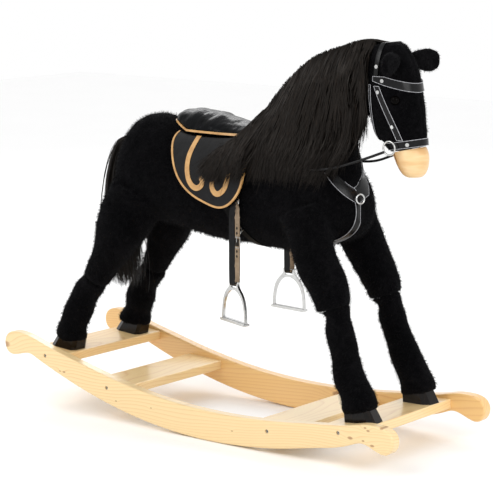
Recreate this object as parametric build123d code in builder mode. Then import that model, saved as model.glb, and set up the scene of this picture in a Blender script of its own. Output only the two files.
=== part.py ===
from build123d import *
import math
import os

# Rocking horse: plush horse with vinyl tack on a two-runner pine base.
# Frame: origin at the middle of the footprint on the floor, +X towards the
# nose, +Y towards the horse's left side, +Z up, millimetres.

# ---------------------------------------------------------------- dimensions
BASE_LENGTH = 992.0        # over the runners' rounded ends
BASE_WIDTH = 339.0         # over the runners' outer faces
RUNNER_T = 24.0            # board thickness of a runner
TILT = 3.56                # resting attitude, nose down, degrees
LIFT = 2.05                # runner symmetry point above the floor at rest
DX = -3.6                  # runner symmetry point behind the footprint's middle

PLANK_W = 90.0
PLANK_T = 19.0
# name: (centre x, top z, slope in degrees) in the base's own frame
PLANKS = {
    "rear_hoof_plank": (-382.0, 94.0, 0.0),
    "rear_foot_slat": (-208.0, 61.5, 1.0),
    "front_foot_slat": (206.0, 63.5, 1.0),
    "front_hoof_plank": (372.0, 98.0, 6.0),
}
SCREW_HEAD_R = 4.0
SCREW_R = 2.4
SCREW_SINK = 5.0

GIRTH_X = 66.0             # stirrups hang under the saddle here
HANG_Z = 484.0             # height of the stirrup hanger's rivet
LEATHER_Y = 89.0           # stirrup leathers hang this far out
EYE_Z = 305.0              # height of the stirrup's eye bar
TREAD_Z = 229.0            # height of the top of the stirrup's tread
STIRRUP_W = 88.0           # tread, outside width

REAR_EXTRA = 4.0           # the rear ends are this much longer

IN_Y = BASE_WIDTH / 2 - RUNNER_T


def bz(x):
    """runner underside, base frame"""
    u = x / 500.0
    return 117.6 * u**2 - 10.0 * u**4 - 1.4 * u**6


def tz(x):
    """runner top, base frame"""
    u = x / 500.0
    return 59.7 + 93.8 * u**2 - 24.8 * u**4


CT, ST = math.cos(math.radians(TILT)), math.sin(math.radians(TILT))


def base_point(x, y, z):
    return (DX + x * CT + z * ST, y, LIFT - x * ST + z * CT)


def base_plane(y, outward=-1):
    """XZ plane of the tilted base at a given y, extruding towards -Y (or +Y)"""
    if outward < 0:
        return Plane(origin=base_point(0, y, 0), x_dir=(CT, 0, -ST), z_dir=(0, -1, 0))
    return Plane(origin=base_point(0, y, 0), x_dir=(-CT, 0, ST), z_dir=(0, 1, 0))


os.makedirs("parts", exist_ok=True)


def save(part, name):
    part.label = name
    export_step(part, "parts/" + name + ".step")


# ------------------------------------------------------------------- runners
END = [(424, 79.3), (438, 77.6), (452, 73.4), (465, 69.6), (476, 68.6), (486, 72.2), (493, 80.5),
       (496, 92), (494, 103.5), (487, 112.5), (475, 118.0), (460, 119.6), (445, 119.0), (430, 117.4)]
BOTTOM = [(x, bz(x)) for x in range(-400, 401, 80)]
TOP = [(x, tz(x)) for x in range(400, -401, -80)]
OUTLINE = BOTTOM + END + TOP + [(-x - REAR_EXTRA, z) for x, z in reversed(END)]

runners = {}
for side, y0 in (("right", -IN_Y), ("left", BASE_WIDTH / 2)):
    with BuildPart() as runner:
        with BuildSketch(base_plane(y0)):
            with BuildLine():
                Spline(*OUTLINE, periodic=True)
            make_face()
        extrude(amount=RUNNER_T)
        fillet(runner.edges().filter_by(lambda e: e.length > 500), 4.0)
        for name, (px, pz, slope) in PLANKS.items():
            s = -1 if side == "right" else 1
            with BuildSketch(base_plane(s * BASE_WIDTH / 2, outward=s)):
                with Locations((px if s < 0 else -px, pz - PLANK_T / 2)):
                    Circle(SCREW_HEAD_R)
            extrude(amount=-SCREW_SINK, mode=Mode.SUBTRACT)
            with BuildSketch(base_plane(s * BASE_WIDTH / 2, outward=s)):
                with Locations((px if s < 0 else -px, pz - PLANK_T / 2)):
                    Circle(SCREW_R)
            extrude(amount=-RUNNER_T, mode=Mode.SUBTRACT)
    runners[side] = runner.part
    save(runner.part, "rocker_" + side)

# -------------------------------------------------- screws through the runners
with BuildPart() as plank_screws:
    for s in (-1, 1):
        for name, (px, pz, slope) in PLANKS.items():
            with BuildSketch(base_plane(s * (BASE_WIDTH / 2 - SCREW_SINK), outward=s)):
                with Locations((px if s < 0 else -px, pz - PLANK_T / 2)):
                    Circle(SCREW_R)
            extrude(amount=-(RUNNER_T - SCREW_SINK + 30))
            with BuildSketch(base_plane(s * (BASE_WIDTH / 2 - SCREW_SINK), outward=s)):
                with Locations((px if s < 0 else -px, pz - PLANK_T / 2)):
                    Circle(SCREW_HEAD_R - 0.1)
                    RegularPolygon(1.6, 6, mode=Mode.SUBTRACT)
            extrude(amount=2.2)
save(plank_screws.part, "plank_screws")



# -------------------------------------------------------------------- planks
# each plank's hoof bolts: (x, y) in the base's own frame
HOOF_AT = {"rear_hoof_plank": (-380.0, 101.0, 180.0), "front_hoof_plank": (380.0, 98.0, -6.0)}
HOOF_L, HOOF_W, HOOF_H = 68.0, 46.0, 24.0
BOLT_R = 4.0


def plank_plane(name, across=0.0, down=0.0):
    """plane square to a plank's top face, at its centre, x along +X"""
    px, pz, slope = PLANKS[name]
    a = math.radians(slope - TILT)
    return Plane(origin=base_point(px, across, pz), x_dir=(math.cos(a), 0, math.sin(a)),
                 z_dir=(-math.sin(a), 0, math.cos(a))).offset(-down)


planks = {}
for name in PLANKS:
    with BuildPart() as plank:
        with BuildSketch(plank_plane(name)):
            Rectangle(PLANK_W, 2 * IN_Y)
        extrude(amount=-PLANK_T)
        fillet(plank.edges().filter_by(Axis.Y), 2.5)
        add(plank_screws.part, mode=Mode.SUBTRACT)
        if name in HOOF_AT:
            hx, hy, turn = HOOF_AT[name]
            with BuildSketch(plank_plane(name)):
                with Locations((hx - PLANKS[name][0], hy), (hx - PLANKS[name][0], -hy)):
                    Circle(BOLT_R + 0.4)
            extrude(amount=-PLANK_T, mode=Mode.SUBTRACT)
    planks[name] = plank.part
    save(plank.part, name)

# -------------------------------------------------------------------- hooves
hooves = {}
for name, (hx, hy, turn) in HOOF_AT.items():
    lean = 5.0 if hx > 0 else 7.0
    for side, s in (("left", 1), ("right", -1)):
        base = plank_plane(name)
        spot = base.from_local_coords(Vector(hx - PLANKS[name][0], s * hy, 0))
        yaw = math.radians(turn) * (s if hx > 0 else 1)
        xd = base.x_dir * math.cos(yaw) + base.y_dir * math.sin(yaw)
        foot = Plane(origin=spot, x_dir=xd, z_dir=base.z_dir)
        with BuildPart() as hoof:
            with BuildSketch(foot):
                with BuildLine():
                    Polyline((-28, -23), (20, -22), (34, -13), (34, 13), (20, 22), (-28, 23), (-34, 14), (-34, -14), close=True)
                make_face()
            with BuildSketch(foot.offset(HOOF_H)):
                with BuildLine():
                    Polyline((-26 - lean, -21), (14 - lean, -20), (26 - lean, -12), (26 - lean, 12), (14 - lean, 20),
                             (-26 - lean, 21), (-31 - lean, 13), (-31 - lean, -13), close=True)
                make_face()
            loft()
            with BuildSketch(foot):
                Circle(BOLT_R)
            extrude(amount=HOOF_H + 2, mode=Mode.SUBTRACT)
        key = name.split("_")[0] + "_" + side
        hooves[key] = hoof.part

# ------------------------------------- studs of the leg frames, nuts, washers
with BuildPart() as hoof_bolts:
    for name, (hx, hy, turn) in HOOF_AT.items():
        for s in (-1, 1):
            with BuildSketch(plank_plane(name, down=PLANK_T + 9)):
                with Locations((hx - PLANKS[name][0], s * hy)):
                    Circle(BOLT_R)
            extrude(amount=PLANK_T + 9 + HOOF_H - 1)
save(hoof_bolts.part, "hoof_bolts")
with BuildPart() as hoof_nuts:
    for name, (hx, hy, turn) in HOOF_AT.items():
        for s in (-1, 1):
            with BuildSketch(plank_plane(name, down=PLANK_T)):
                with Locations((hx - PLANKS[name][0], s * hy)):
                    Circle(9.5)
                    Circle(BOLT_R, mode=Mode.SUBTRACT)
            extrude(amount=-1.6)
            with BuildSketch(plank_plane(name, down=PLANK_T + 1.7)):
                with Locations((hx - PLANKS[name][0], s * hy)):
                    RegularPolygon(7.5, 6)
                    Circle(BOLT_R, mode=Mode.SUBTRACT)
            extrude(amount=-6.2)
save(hoof_nuts.part, "hoof_nuts")

# --------------------------------------------------------- soft body stations
# stations down each leg's middle: x, y, z, radius (floor frame)
FRONT_UPPER = [(222, 66, 455, 52), (243, 77, 410, 44), (274, 84, 348, 40), (294, 85.5, 315, 37), (305, 87, 281, 33)]
FRONT_LOWER = [(305, 87, 281, 31), (320, 88, 242, 27), (330.6, 89, 214.5, 26), (340, 93, 187.5, 27),
               (348.5, 96.5, 162, 30), (362.5, 97, 137, 31), (373.4, 98, 116.5, 33), (378, 98, 95, 33)]
REAR_UPPER = [(-212, 52, 452, 62), (-240, 72, 390, 55), (-257, 84, 345, 43), (-273, 88, 315, 34), (-288, 91, 290, 30),
              (-300, 93, 270, 28)]
REAR_LOWER = [(-300, 93, 270, 27), (-312, 94, 255, 27), (-328, 96, 236, 28), (-337, 97, 217, 30), (-343, 98, 202, 31),
              (-351, 101, 182, 29), (-359, 102, 162, 30), (-364, 101, 140, 31)]
# torso: x, middle height, half height, half width
TORSO = [(-288, 488, 38, 34), (-266, 496, 74, 64), (-228, 504, 104, 87), (-180, 504, 111, 92), (-120, 492, 106, 86),
         (-50, 482, 108, 78), (20, 480, 109, 76), (90, 482, 113, 77), (160, 487, 118, 82), (220, 485, 104, 84),
         (268, 477, 80, 74), (298, 468, 56, 55), (316, 462, 27, 27)]
NECK = [(190, 540, 0.33, 0.944, 122, 70), (204, 603, 0.432, 0.902, 97, 58), (230, 655, 0.625, 0.78, 77, 49),
        (268, 690, 0.80, 0.60, 65, 43), (316, 704, 0.967, 0.256, 62, 41)]
HEAD = [(366, 783, 0.05, -1, 26, 24), (366, 768, 0.08, -1, 42, 38), (369, 745, 0.12, -1, 51, 45),
        (375, 712, 0.2, -1, 56, 48), (381, 680, 0.25, -1, 57, 47), (389.5, 646, 0.28, -1, 55, 42),
        (399, 618, 0.28, -1, 49, 37), (410, 598, 0.25, -1, 40, 33.5), (414.5, 587, 0.22, -1, 36, 32.5)]
MUZZLE = [(414.8, 586.0, 0.22, -1, 32, 31.5), (421, 572, 0.2, -1, 32.5, 32), (425, 556, 0.15, -1, 29, 29),
          (427, 543, 0.1, -1, 23, 23), (428, 535, 0.05, -1, 13, 13)]
GROW = 2.4                 # straps stand this far off the plush


def leg_sections(stations, s):
    """circles square to the leg's middle line; s is the side's sign"""
    pts = [Vector(x + DX, s * y, z) for x, y, z, r in stations]
    secs = []
    for i, (x, y, z, r) in enumerate(stations):
        d = (pts[min(len(pts) - 1, i + 1)] - pts[max(0, i - 1)]).normalized()
        secs.append((Plane(origin=pts[i], x_dir=Vector(0, 1, 0).cross(d), z_dir=d), r, r))
    return secs


def tilted_sections(rows, grow=0.0):
    """rows: (x, z, normal x, normal z, half size in the XZ plane, half width)"""
    out = []
    for i, (x, z, nx, nz, a, b) in enumerate(rows):
        n = Vector(nx, 0, nz).normalized()
        back = grow if i == 0 else 0.0
        out.append((Plane(origin=(x + DX - n.X * back, 0, z - n.Z * back), x_dir=(n.Z, 0, -n.X), z_dir=n), a + grow, b + grow))
    return out


def torso_sections(grow=0.0):
    out = []
    for i, (x, zc, rz, ry) in enumerate(TORSO):
        gx = -grow if i == 0 else grow if i == len(TORSO) - 1 else 0.0
        out.append((Plane(origin=(x + gx + DX, 0, zc), x_dir=(0, 1, 0), z_dir=(1, 0, 0)), ry + grow, rz + grow))
    return out


def ellipse_loft(sections, cuts=()):
    with BuildPart() as body:
        for plane, a, b in sections:
            with BuildSketch(plane):
                Ellipse(a, b)
        loft()
        for tool in cuts:
            add(tool, mode=Mode.SUBTRACT)
    return body.part


def tube_path(points, radius, bend):
    """round bar along straight runs joined by arcs"""
    with BuildPart() as bar:
        with BuildLine() as path:
            FilletPolyline(*points, radius=bend)
        with BuildSketch(Plane(origin=path.line @ 0, z_dir=path.line % 0)):
            Circle(radius)
        sweep()
    return bar.part


def slab(origin, along, thick, x_range, z_range, y_range=(-130, 130)):
    """board through a point, holding the Y axis and the direction along (x, z), cut to a box"""
    d = Vector(along[0], 0, along[1]).normalized()
    with BuildPart() as board:
        with BuildSketch(Plane(origin=(origin[0] + DX, 0, origin[1]), x_dir=d, z_dir=(d.Z * -1, 0, d.X))):
            Rectangle(900, 260)
        extrude(amount=thick / 2, both=True)
        with BuildSketch(Plane.XY.offset(z_range[0])):
            with Locations(((x_range[0] + x_range[1]) / 2 + DX, (y_range[0] + y_range[1]) / 2)):
                Rectangle(x_range[1] - x_range[0], y_range[1] - y_range[0])
        extrude(amount=z_range[1] - z_range[0], mode=Mode.INTERSECT)
    return board.part


def cut_band(shell, board, cuts=()):
    with BuildPart() as band:
        add(shell)
        add(board, mode=Mode.INTERSECT)
        for tool in cuts:
            add(tool, mode=Mode.SUBTRACT)
    return band.part


# -------------------------------------------------------------- inner frame
FRONT_R, REAR_R, POST_R, SPINE_R = 9.0, 5.5, 11.0, 6.0      # bars, set by the balance point
front_frame = tube_path([(378 + DX, -98.5, 102), (309 + DX, -87, 270), (240 + DX, -70, 415), (240 + DX, 70, 415),
                         (309 + DX, 87, 270), (378 + DX, 98.5, 102)], FRONT_R, 28)
rear_frame = tube_path([(-366 + DX, -101, 142), (-338 + DX, -97, 215), (-240 + DX, -66, 432), (-240 + DX, 66, 432),
                        (-338 + DX, 97, 215), (-366 + DX, 101, 142)], REAR_R, 28)
neck_post_solid = tube_path([(180 + DX, 0, 418), (290 + DX, 0, 680), (372 + DX, 0, 742)], POST_R, 60)
with BuildPart() as spine_tube:
    with BuildSketch(Plane(origin=(-240 + DX, 0, 432), z_dir=(480, 0, -17))):
        Circle(SPINE_R)
    extrude(amount=480.3)
    add(front_frame, mode=Mode.SUBTRACT)
    add(rear_frame, mode=Mode.SUBTRACT)
spine = spine_tube.part.solids().sort_by(SortBy.VOLUME)[-1]
with BuildPart() as spine_clean:
    add(spine)
with BuildPart() as neck_post:
    add(neck_post_solid)
    add(spine_clean.part, mode=Mode.SUBTRACT)
save(front_frame, "front_leg_frame")
save(rear_frame, "rear_leg_frame")
save(spine_clean.part, "spine_tube")
post = neck_post.part.solids().sort_by(SortBy.VOLUME)[-1]
with BuildPart() as neck_post_clean:
    add(post)
save(neck_post_clean.part, "neck_post")
for key, hoof_body in hooves.items():
    with BuildPart() as hoof_cut:
        add(hoof_body)
        add(front_frame if key.startswith("front") else rear_frame, mode=Mode.SUBTRACT)
    save(hoof_cut.part, "hoof_" + key)

# ------------------------------------------------------------ stirrup rivets
with BuildPart() as hanger_rivets:
    for s in (-1, 1):
        with BuildSketch(Plane(origin=(GIRTH_X + DX, s * 66, HANG_Z), z_dir=(0, s, 0))):
            Circle(2.5)
        extrude(amount=25.5)
        with BuildSketch(Plane(origin=(GIRTH_X + DX, s * 91, HANG_Z), z_dir=(0, s, 0))):
            Circle(5.5)
        extrude(amount=1.8)
save(hanger_rivets.part, "hanger_rivets")

# --------------------------------------------------------------- plush solids
torso_full = ellipse_loft(torso_sections())
torso = ellipse_loft(torso_sections(), (front_frame, rear_frame, spine_clean.part, neck_post_clean.part, hanger_rivets.part))
save(torso, "torso")
torso_plus = ellipse_loft(torso_sections(GROW))
neck_full = ellipse_loft(tilted_sections(NECK))
head_full = ellipse_loft(tilted_sections(HEAD))
head_plus = ellipse_loft(tilted_sections(HEAD, GROW))
neck = ellipse_loft(tilted_sections(NECK), (torso_full, neck_post_clean.part))
save(neck, "neck")
head = ellipse_loft(tilted_sections(HEAD), (neck_full, neck_post_clean.part))
save(head, "head")

legs = {}
for end, upper, lower, frame in (("front", FRONT_UPPER, FRONT_LOWER, front_frame), ("rear", REAR_UPPER, REAR_LOWER, rear_frame)):
    for side, s in (("left", 1), ("right", -1)):
        leg = ellipse_loft(leg_sections(upper, s), (torso_full, frame, spine_clean.part))
        legs[end + side] = leg
        save(leg, end + "_upper_leg_" + side)
        low = ellipse_loft(leg_sections(lower, s), (frame, hooves[end + "_" + side], hoof_bolts.part, leg))
        save(low, end + "_lower_leg_" + side)

# -------------------------------------------------------------------- muzzle
with BuildPart() as muzzle_upper:
    add(ellipse_loft(tilted_sections(MUZZLE)))
    with BuildSketch(Plane.XZ.offset(-60)):
        with BuildLine():
            Polyline((350 + DX, 640), (396 + DX, 640), (398 + DX, 592), (406 + DX, 560), (421 + DX, 520), (350 + DX, 520), close=True)
        make_face()
    extrude(amount=120, mode=Mode.SUBTRACT)
save(muzzle_upper.part, "muzzle_upper")
with BuildPart() as muzzle_lower:
    add(ellipse_loft(tilted_sections(MUZZLE)))
    with BuildSketch(Plane.XZ.offset(-60)):
        with BuildLine():
            Polyline((350 + DX, 640), (392 + DX, 640), (394.5 + DX, 592), (402.5 + DX, 559), (417 + DX, 520), (350 + DX, 520), close=True)
        make_face()
    extrude(amount=120, mode=Mode.INTERSECT)
save(muzzle_lower.part, "muzzle_lower")

# ---------------------------------------------------------------------- eyes
with BuildPart() as eyes:
    for s in (-1, 1):
        with Locations((408 + DX, s * 38.5, 681)):
            Sphere(9.0)
    add(head_full, mode=Mode.SUBTRACT)
save(eyes.part, "eyes")

# ---------------------------------------------------------------------- tail
with BuildPart() as tail:
    for x, z, nx, nz, a, b in [(-274, 556, -0.8, 0.3, 9, 10), (-296, 548, -0.75, -0.65, 12, 15), (-313, 510, -0.3, -0.95, 16, 20),
                               (-322, 450, -0.1, -1, 19, 24), (-326, 380, 0, -1, 21, 27), (-324, 320, 0.05, -1, 20, 26),
                               (-320, 275, 0.08, -1, 15, 18), (-318, 250, 0.1, -1, 7, 8)]:
        n = Vector(nx, 0, nz).normalized()
        with BuildSketch(Plane(origin=(x + DX, 0, z), x_dir=(n.Z, 0, -n.X), z_dir=n)):
            Ellipse(a, b)
    loft()
    add(torso_full, mode=Mode.SUBTRACT)
    add(legs["rearleft"], mode=Mode.SUBTRACT)
    add(legs["rearright"], mode=Mode.SUBTRACT)
tail_solid = tail.part.solids().sort_by(SortBy.VOLUME)[-1]
with BuildPart() as tail_clean:
    add(tail_solid)
save(tail_clean.part, "tail")

# -------------------------------------------------------------------- bridle
with BuildPart() as head_shell:
    add(head_plus)
    add(head_full, mode=Mode.SUBTRACT)
    add(neck_full, mode=Mode.SUBTRACT)
shell = head_shell.part
crown = cut_band(shell, slab((371, 745), (0.03, 1), 9, (350, 400), (724, 800)))
save(crown, "crown_strap")
browband = cut_band(shell, slab((401, 713), (0.966, -0.26), 15, (364, 450), (680, 724)), (crown,))
save(browband, "browband")
cheekpieces = cut_band(shell, slab((396, 653), (0.40, -0.917), 11, (340, 440), (606, 706)), (browband, crown))
save(cheekpieces, "cheekpieces")
noseband = cut_band(shell, slab((414, 596.5), (0.985, 0.17), 13, (340, 470), (570, 640)), (cheekpieces,))
save(noseband, "noseband")
throatlatch = cut_band(shell, slab((355, 680), (0.02, 1), 5, (340, 370), (600, 708)), (browband, crown, cheekpieces, noseband))
save(throatlatch, "throatlatch")
for n, b in (("crown", crown), ("browband", browband), ("cheekpieces", cheekpieces), ("noseband", noseband), ("throatlatch", throatlatch)):
    print(n, b.is_valid, len(b.solids()), round(b.volume))

# ---------------------------------------------------------------------- ears
for side, s in (("left", 1), ("right", -1)):
    d = Vector(16, s * 55, -5).normalized()
    rows = [(-18, 11, 14), (0, 12, 16), (14, 13, 20), (32, 12, 22), (47, 10, 18), (56, 6, 9)]
    with BuildPart() as ear:
        for t, a, b in rows:
            o = Vector(403 + DX, s * 38, 752) + d * t
            with BuildSketch(Plane(origin=o, x_dir=(d.Y * s, -d.X * s, 0), z_dir=d)):
                Ellipse(a, b)
        loft()
        for tool in (head_full, crown, browband):
            add(tool, mode=Mode.SUBTRACT)
    ear_solid = ear.part.solids().sort_by(SortBy.VOLUME)[-1]
    with BuildPart() as ear_clean:
        add(ear_solid)
    print("ear", side, len(ear.part.solids()), round(ear_solid.volume))
    save(ear_clean.part, "ear_" + side)

# ----------------------------------------------------- bit rings and the reins
with BuildPart() as bit_rings:
    for s in (-1, 1):
        with Locations(Plane(origin=(398 + DX, s * 42.5, 591), z_dir=(0, 1, 0))):
            Torus(13, 1.7)
save(bit_rings.part, "bit_rings")
half = [(388 + DX, -42.5, 583.5), (345 + DX, -55, 566), (285 + DX, -76, 545), (215 + DX, -88, 540), (150 + DX, -84, 560), (96 + DX, -58, 606),
        (72 + DX, -22, 634)]
route = half + [(x, -y, z) for x, y, z in reversed(half)]
radii = []
for i in range(1, len(route) - 1):
    a, b, c = Vector(*route[i - 1]), Vector(*route[i]), Vector(*route[i + 1])
    turn = (b - a).get_angle(c - b)
    run = min((b - a).length, (c - b).length)
    radii.append(max(6.0, 0.45 * run / max(0.02, math.tan(math.radians(turn / 2)))))
print("rein radii", [round(r) for r in radii])
with BuildPart() as reins:
    with BuildLine() as path:
        FilletPolyline(*route, radius=radii)
    with BuildSketch(Plane(origin=path.line @ 0, z_dir=path.line % 0)):
        Circle(2.6)
    sweep()
    add(bit_rings.part, mode=Mode.SUBTRACT)
print("reins", reins.part.is_valid, len(reins.part.solids()), round(reins.part.volume), round(sum(e.length for e in path.line.edges())))
save(reins.part, "reins")

# ---------------------------------------------------------------- saddle seat
SEAT = [(-131, 617, 6, 24), (-120, 611, 18, 42), (-96, 601, 31, 54), (-52, 592, 37, 59), (0, 588, 30, 58), (45, 586, 19, 52),
        (72, 590, 11, 40), (84, 594, 5, 24)]


def seat_loft(grow):
    with BuildPart() as body:
        for i, (x, z, h, w) in enumerate(SEAT):
            gx = -grow if i == 0 else grow if i == len(SEAT) - 1 else 0
            with BuildSketch(Plane(origin=(x + gx + DX, 0, z), x_dir=(0, 1, 0), z_dir=(1, 0, 0))):
                Ellipse(w + grow, h + grow)
        loft()
    return body.part


seat_full = seat_loft(0)
seat_grown = seat_loft(2.6)

# --------------------------------------------------------------- saddle flaps
# cross-section of the right flap's outer face, (y, z): from under the seat out over the stirrup hanger
ARC = [(50, 589), (66, 577), (80, 555), (90, 525), (96.5, 494), (99.5, 468), (100, 436)]
FLAP = [(-90, 604), (-106, 580), (-102, 562), (-93, 538), (-80, 513), (-61, 491), (-33, 472), (2, 459), (39, 453), (55, 458),
        (72, 472), (84, 491), (90, 525), (92, 565), (90, 604)]
HOOK_BACK = [(-46, 586), (-48, 570), (-53, 543), (-50, 514), (-38, 493), (-21, 486), (-10, 494), (-12, 505)]
HOOK_FRONT = [(80, 590), (72, 572), (62, 552), (53, 534), (52, 505), (42, 484), (29, 479), (18, 488), (16, 499)]


def arc_band(s, inner, outer):
    """curved sheet between two offsets of the flap's outer face; s is the side's sign"""
    def shifted(k):
        out = []
        for i, (y, z) in enumerate(ARC):
            a, b = ARC[max(0, i - 1)], ARC[min(len(ARC) - 1, i + 1)]
            ty, tz_ = b[0] - a[0], b[1] - a[1]
            n = math.hypot(ty, tz_)
            out.append((s * (y - tz_ / n * k), z + ty / n * k))
        return out
    o, i = shifted(outer), shifted(inner)
    with BuildPart() as band:
        with BuildSketch(Plane(origin=(-125 + DX, 0, 0), x_dir=(0, 1, 0), z_dir=(1, 0, 0))):
            with BuildLine():
                Spline(*o)
                Line(o[-1], i[-1])
                Spline(*reversed(i))
                Line(i[0], o[0])
            make_face()
        extrude(amount=235)
    return band.part


def outline_prism(grow, s):
    """everything inside the flap's outline moved outwards by grow, on one side"""
    pts = []
    for i, (x, z) in enumerate(FLAP):
        a, b = FLAP[max(0, i - 1)], FLAP[min(len(FLAP) - 1, i + 1)]
        dx, dz = b[0] - a[0], b[1] - a[1]
        n = math.hypot(dx, dz)
        pts.append((x + DX + dz / n * grow, z - dx / n * grow))
    with BuildPart() as prism:
        with BuildSketch(Plane.XZ):
            with BuildLine():
                Spline(*pts)
                Line(pts[-1], pts[0])
            make_face()
        extrude(amount=-s * 130)
    return prism.part


def stroke_prism(points, width, s):
    with BuildPart() as prism:
        with BuildSketch(Plane.XZ):
            with BuildLine():
                Spline(*[(x + DX, z) for x, z in points])
            trace(line_width=width)
            with Locations((points[-1][0] + DX, points[-1][1])):
                Circle(width / 2)
        extrude(amount=-s * 130)
    return prism.part


with BuildPart() as flap_envelope:
    add(arc_band(-1, -2.4, 2.6))
    add(outline_prism(2.6, -1), mode=Mode.INTERSECT)
flap_room = flap_envelope.part

# ---------------------------------------------------------------------- mane
neck_mane = ellipse_loft(tilted_sections(NECK, 15))
with BuildPart() as mane:
    add(neck_mane)
    with BuildSketch(Plane.XZ.offset(-16)):
        with BuildLine():
            Polyline((20 + DX, 640), (40 + DX, 560), (110 + DX, 535), (200 + DX, 520), (270 + DX, 520), (292 + DX, 600), (318 + DX, 680),
                     (340 + DX, 700), (340 + DX, 800), (180 + DX, 800), close=True)
        make_face()
    extrude(amount=120, mode=Mode.INTERSECT)
    for tool in (neck_full, torso_plus, head_plus, reins.part, seat_grown, flap_room):
        add(tool, mode=Mode.SUBTRACT)
mane_solid = mane.part.solids().sort_by(SortBy.VOLUME)[-1]
with BuildPart() as mane_clean:
    add(mane_solid)
print("mane", len(mane.part.solids()), round(mane_solid.volume))
save(mane_clean.part, "mane")

def above(body, drop, thick=200.0):
    """the part of a solid above the seat's lower edge, which falls towards the pommel"""
    with BuildPart() as kept:
        add(body)
        with BuildSketch(Plane.XZ.offset(-90)):
            with BuildLine():
                Polyline((-150 + DX, 610 - drop), (-112 + DX, 606 - drop), (-82 + DX, 592 - drop), (100 + DX, 590 - drop),
                         (100 + DX, 590 - drop + thick), (-82 + DX, 592 - drop + thick), (-112 + DX, 606 - drop + thick),
                         (-150 + DX, 610 - drop + thick), close=True)
            make_face()
        extrude(amount=180, mode=Mode.INTERSECT)
        add(torso_full, mode=Mode.SUBTRACT)
        add(neck_full, mode=Mode.SUBTRACT)
    return kept.part


seat = above(seat_full, 0)
with BuildPart() as seat_piping:
    add(above(seat_grown, 1.0, 4.2))
    add(seat_full, mode=Mode.SUBTRACT)
save(seat, "saddle_seat")
print("seat", seat.is_valid, len(seat.solids()), "piping", len(seat_piping.part.solids()), round(seat_piping.part.volume))

flap_parts, trim_parts, hook_parts, pad_parts = {}, [], [], []
for side, s in (("left", 1), ("right", -1)):
    with BuildPart() as flap:
        add(arc_band(s, -1.5, 1.0))
        add(outline_prism(-2.0, s), mode=Mode.INTERSECT)
        add(seat_grown, mode=Mode.SUBTRACT)
    flap_parts[side] = flap.part.solids().sort_by(SortBy.VOLUME)[-1]
    with BuildPart() as flap_clean:
        add(flap_parts[side])
    save(flap_clean.part, "saddle_flap_" + side)
    with BuildPart() as trim:
        add(arc_band(s, -1.6, 2.0))
        add(outline_prism(2.0, s), mode=Mode.INTERSECT)
        add(outline_prism(-2.0, s), mode=Mode.SUBTRACT)
        add(seat_grown, mode=Mode.SUBTRACT)
    trim_parts.append(trim.part)
    for pts in (HOOK_BACK, HOOK_FRONT):
        with BuildPart() as hook:
            add(arc_band(s, 1.0, 2.0))
            add(stroke_prism(pts, 11.0, s), mode=Mode.INTERSECT)
            add(outline_prism(-2.0, s), mode=Mode.INTERSECT)
            add(seat_grown, mode=Mode.SUBTRACT)
        hook_parts.append(hook.part.solids().sort_by(SortBy.VOLUME)[-1])
    # padding between the flap and the barrel, above the stirrup hanger
    with BuildPart() as pad:
        add(arc_band(s, -30.0, -1.5))
        with BuildSketch(Plane.XZ):
            with BuildLine():
                Polyline((-84 + DX, 588), (-84 + DX, 556), (-58 + DX, 520), (-20 + DX, 503), (50 + DX, 500), (74 + DX, 512), (76 + DX, 588), close=True)
            make_face()
        extrude(amount=-s * 130, mode=Mode.INTERSECT)
        add(torso_full, mode=Mode.SUBTRACT)
        add(seat_grown, mode=Mode.SUBTRACT)
        add(neck_full, mode=Mode.SUBTRACT)
        add(mane_clean.part, mode=Mode.SUBTRACT)
    pad_parts.append(pad.part.solids().sort_by(SortBy.VOLUME)[-1])
with BuildPart() as saddle_piping:
    for piece in trim_parts:
        add(piece)
    add(seat_piping.part)
print("piping", len(saddle_piping.part.solids()), saddle_piping.part.is_valid)
save(saddle_piping.part, "saddle_piping")
with BuildPart() as flap_hooks:
    for piece in hook_parts:
        add(piece)
print("hooks", len(flap_hooks.part.solids()))
save(flap_hooks.part, "flap_applique")
with BuildPart() as saddle_pads:
    for piece in pad_parts:
        add(piece)
print("pads", len(saddle_pads.part.solids()))
save(saddle_pads.part, "saddle_pads")

# ----------------------------------------------- girth, breast collar and ring
with BuildPart() as body_shell:
    add(torso_plus)
    add(torso_full, mode=Mode.SUBTRACT)
    add(neck_full, mode=Mode.SUBTRACT)
tack_shell = body_shell.part
front_legs = (legs["frontleft"], legs["frontright"])
girth = cut_band(tack_shell, slab((64, 395), (0.50, -0.866), 15, (-20, 160), (340, 478)), (hanger_rivets.part,))
save(girth, "girth_strap")
RING = (316.0, -26.0, 487.0)


def wedge(p, q, r, thick, y_range):
    """board through three points, cut to a span of y"""
    P, Q, R = (Vector(v[0] + DX, v[1], v[2]) for v in (p, q, r))
    n = (Q - P).cross(R - P).normalized()
    with BuildPart() as board:
        with BuildSketch(Plane(origin=P, x_dir=(Q - P).normalized(), z_dir=n)):
            Rectangle(900, 900)
        extrude(amount=thick / 2, both=True)
        with BuildSketch(Plane.XY.offset(440)):
            with Locations((290 + DX, (y_range[0] + y_range[1]) / 2)):
                Rectangle(320, y_range[1] - y_range[0])
        extrude(amount=280, mode=Mode.INTERSECT)
    return board.part


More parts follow.
